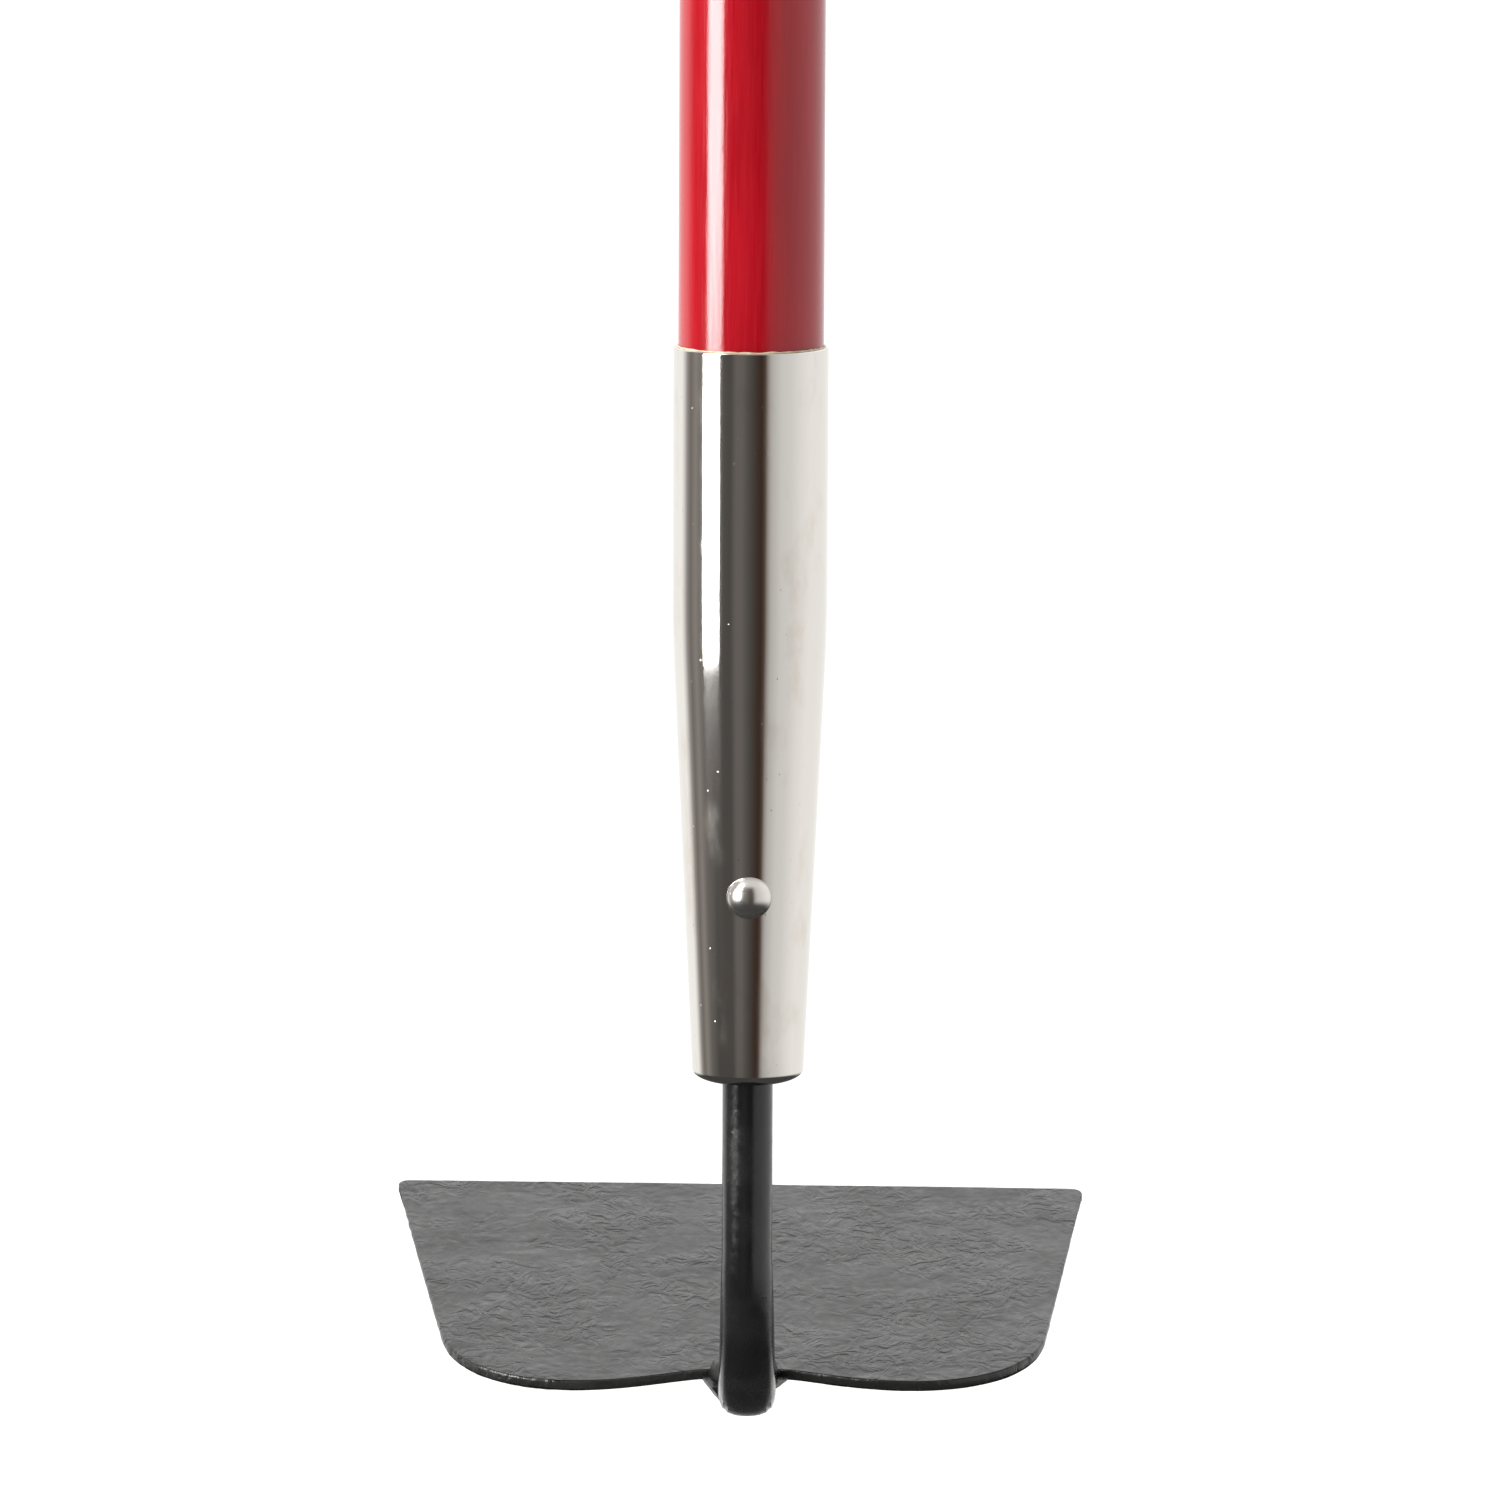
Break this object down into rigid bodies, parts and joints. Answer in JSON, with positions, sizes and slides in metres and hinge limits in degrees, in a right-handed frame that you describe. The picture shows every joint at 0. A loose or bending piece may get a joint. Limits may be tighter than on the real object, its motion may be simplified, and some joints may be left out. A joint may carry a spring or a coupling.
{
  "type": "grub hoe",
  "caption": "Long-handled hoe: broad forged blade with rounded shoulders on a gooseneck bar, tapered metal ferrule, tubular handle and cushion grip.",
  "frame": {"origin": "on the handle's axis, at the middle of the cushion grip, where a tool clip or a hand holds the hoe", "axes": "+Z along the handle from the head to the butt, +Y the way the blade reaches out from the neck, +X across the blade"},
  "size_m": [0.1614, 0.1742, 1.5676],
  "materials": {
    "blade_enamel": "semi-gloss black enamel over forging scale",
    "neck_enamel": "gloss black enamel over rolled bar",
    "weld_enamel": "black enamel over weld ripples",
    "ferrule_plating": "bright nickel plate",
    "rivet_plating": "bright nickel plate",
    "hardwood": "bare turned hardwood",
    "adhesive": "cured epoxy",
    "fibreglass": "gloss red resin with fine lengthwise fibres",
    "grip_rubber": "matt black moulded rubber with ring grooves",
    "cap_plastic": "satin black moulded plastic"
  },
  "bodies": {
    "root": {"blade": "blade_enamel", "neck": "neck_enamel", "weld_upper": "weld_enamel", "weld_lower": "weld_enamel", "ferrule": "ferrule_plating", "rivet": "rivet_plating", "tang_plug": "hardwood", "bond_line": "adhesive", "handle_tube": "fibreglass", "cushion_grip": "grip_rubber", "end_cap": "cap_plastic"}
  },
  "joints": []
}
